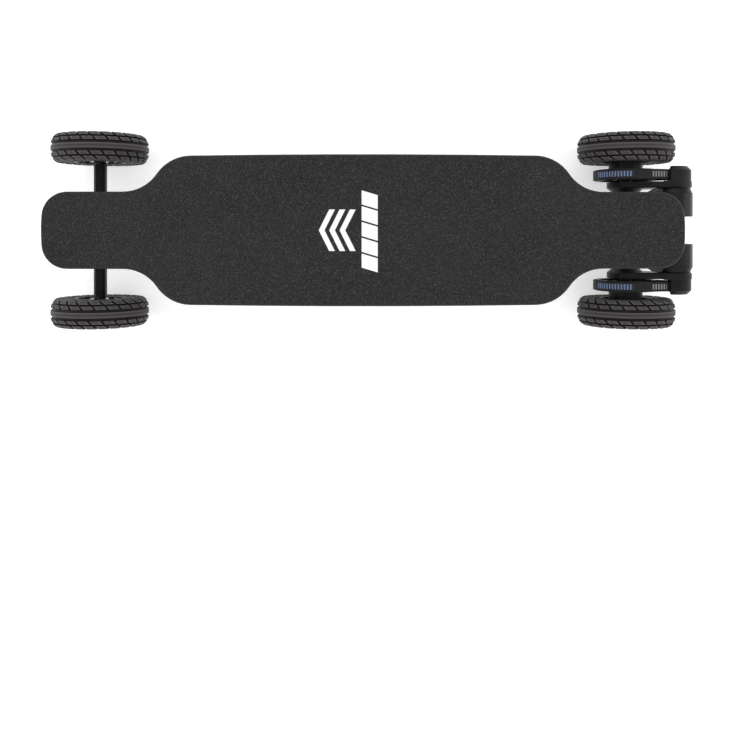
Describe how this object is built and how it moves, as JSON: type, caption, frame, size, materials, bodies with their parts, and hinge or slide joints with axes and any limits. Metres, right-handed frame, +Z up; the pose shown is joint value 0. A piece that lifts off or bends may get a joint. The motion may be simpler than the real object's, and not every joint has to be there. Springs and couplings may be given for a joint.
{
  "type": "electric skateboard",
  "caption": "Electric longboard with airless rubber tyres, steering trucks, belt-driven rear wheels and a battery enclosure under a grip-taped deck",
  "frame": {"origin": "middle of the board on the ground: the centre of the bounding box in X and Y, at the height where the tyres stand", "axes": "+X towards the driven tail, -X towards the nose, +Y to the rider's right when facing the nose, +Z up out of the deck"},
  "size_m": [1.0098, 0.302, 0.16],
  "materials": {
    "deck_black": "black stained laminated deck, satin lacquer",
    "grip_grit": "black silicon-carbide grip sheet with a white printed pattern",
    "shell_abs": "black moulded plastic, fine texture",
    "foam_black": "closed-cell foam",
    "battery_wrap": "heat-shrink wrap",
    "controller_case": "extruded case",
    "skid_aluminium": "satin anodised strip",
    "screw_black": "black oxide",
    "steel_bright": "zinc plated",
    "hatch_gloss": "gloss black plate with printed border and marks",
    "port_metal": "nickel plated",
    "truck_black": "black powder coat",
    "truck_cast": "dark cast aluminium, worn bright on its boss",
    "urethane": "black urethane",
    "kingpin_steel": "yellow zinc plated",
    "tyre_rubber": "black airless rubber",
    "hub_plastic": "dark grey moulded nylon",
    "pulley_black": "black anodised",
    "belt_rubber": "toothed rubber belt",
    "motor_black": "gloss black can",
    "motor_base_black": "satin black base",
    "guard_plastic": "black moulded guard",
    "lead_rubber": "black sleeving"
  },
  "bodies": {
    "deck": {"deck": "deck_black", "grip_tape": "grip_grit", "enclosure_shell": "shell_abs", "enclosure_gasket": "foam_black", "enclosure_screws": "screw_black", "battery_pack": "battery_wrap", "motor_controller": "controller_case", "skid_strips": "skid_aluminium", "controller_hatch": "hatch_gloss", "trim_screws": "steel_bright", "button_bezel": "port_metal", "charge_port": "port_metal", "cable_grommets": "foam_black", "motor_leads": "lead_rubber", "riser_pads": "foam_black", "truck_screws": "screw_black", "kingpin_sets": "kingpin_steel", "pivot_cups": "urethane", "front_baseplate": "truck_cast", "rear_baseplate": "truck_cast", "front_bushings": "urethane", "rear_bushings": "urethane"},
    "power_button": {"power_button": "port_metal"},
    "front_hanger": {"front_hanger": "truck_black", "front_axle": "steel_bright", "front_axle_hardware": "steel_bright"},
    "rear_hanger": {"rear_hanger": "truck_black", "rear_axle": "steel_bright", "rear_axle_hardware": "steel_bright", "drive_screws": "screw_black", "left_motor_mount": "truck_black", "left_belt_guard": "guard_plastic", "left_motor_stator": "motor_base_black", "left_drive_belt": "belt_rubber", "right_motor_mount": "truck_black", "right_belt_guard": "guard_plastic", "right_motor_stator": "motor_base_black", "right_drive_belt": "belt_rubber"},
    "front_left_wheel": {"front_left_tyre": "tyre_rubber", "front_left_hub": "hub_plastic", "front_left_bearings": "steel_bright", "front_left_hub_bolts": "steel_bright"},
    "rear_left_wheel": {"rear_left_tyre": "tyre_rubber", "rear_left_hub": "hub_plastic", "rear_left_bearings": "steel_bright", "rear_left_hub_bolts": "steel_bright", "left_wheel_pulley": "pulley_black"},
    "left_motor": {"left_motor_can": "motor_black", "left_motor_pulley": "steel_bright"},
    "front_right_wheel": {"front_right_tyre": "tyre_rubber", "front_right_hub": "hub_plastic", "front_right_bearings": "steel_bright", "front_right_hub_bolts": "steel_bright"},
    "rear_right_wheel": {"rear_right_tyre": "tyre_rubber", "rear_right_hub": "hub_plastic", "rear_right_bearings": "steel_bright", "rear_right_hub_bolts": "steel_bright", "right_wheel_pulley": "pulley_black"},
    "right_motor": {"right_motor_can": "motor_black", "right_motor_pulley": "steel_bright"}
  },
  "joints": [
    {"name": "front_steer", "type": "hinge", "parent": "deck", "child": "front_hanger", "pos_m": [-0.4419, 0, 0.107], "axis": [-0.788, 0, 0.6157], "range_deg": [-18, 18], "stiffness_Nm_per_rad": 60, "deforming": ["front_bushings"]},
    {"name": "rear_steer", "type": "hinge", "parent": "deck", "child": "rear_hanger", "pos_m": [0.4201, 0, 0.107], "axis": [0.788, 0, 0.6157], "range_deg": [-18, 18], "stiffness_Nm_per_rad": 60, "deforming": ["rear_bushings", "motor_leads"]},
    {"name": "power_button_press", "type": "slide", "parent": "deck", "child": "power_button", "axis": [0, -1, 0], "range_m": [0, 0.0012], "stiffness_N_per_m": 900},
    {"name": "front_left_wheel_spin", "type": "hinge", "parent": "front_hanger", "child": "front_left_wheel", "pos_m": [-0.4299, -0.129, 0.075], "axis": [0, 1, 0], "continuous": true},
    {"name": "rear_left_wheel_spin", "type": "hinge", "parent": "rear_hanger", "child": "rear_left_wheel", "pos_m": [0.4081, -0.129, 0.075], "axis": [0, 1, 0], "continuous": true},
    {"name": "left_motor_spin", "type": "hinge", "parent": "rear_hanger", "child": "left_motor", "pos_m": [0.4766, -0.05, 0.097], "axis": [0, 1, 0], "continuous": true},
    {"name": "front_right_wheel_spin", "type": "hinge", "parent": "front_hanger", "child": "front_right_wheel", "pos_m": [-0.4299, 0.129, 0.075], "axis": [0, 1, 0], "continuous": true},
    {"name": "rear_right_wheel_spin", "type": "hinge", "parent": "rear_hanger", "child": "rear_right_wheel", "pos_m": [0.4081, 0.129, 0.075], "axis": [0, 1, 0], "continuous": true},
    {"name": "right_motor_spin", "type": "hinge", "parent": "rear_hanger", "child": "right_motor", "pos_m": [0.4766, 0.05, 0.097], "axis": [0, 1, 0], "continuous": true}
  ],
  "couplings": [
    {"joint": "left_motor_spin", "follows": "rear_left_wheel_spin", "ratio": 3.75},
    {"joint": "right_motor_spin", "follows": "rear_right_wheel_spin", "ratio": 3.75}
  ]
}
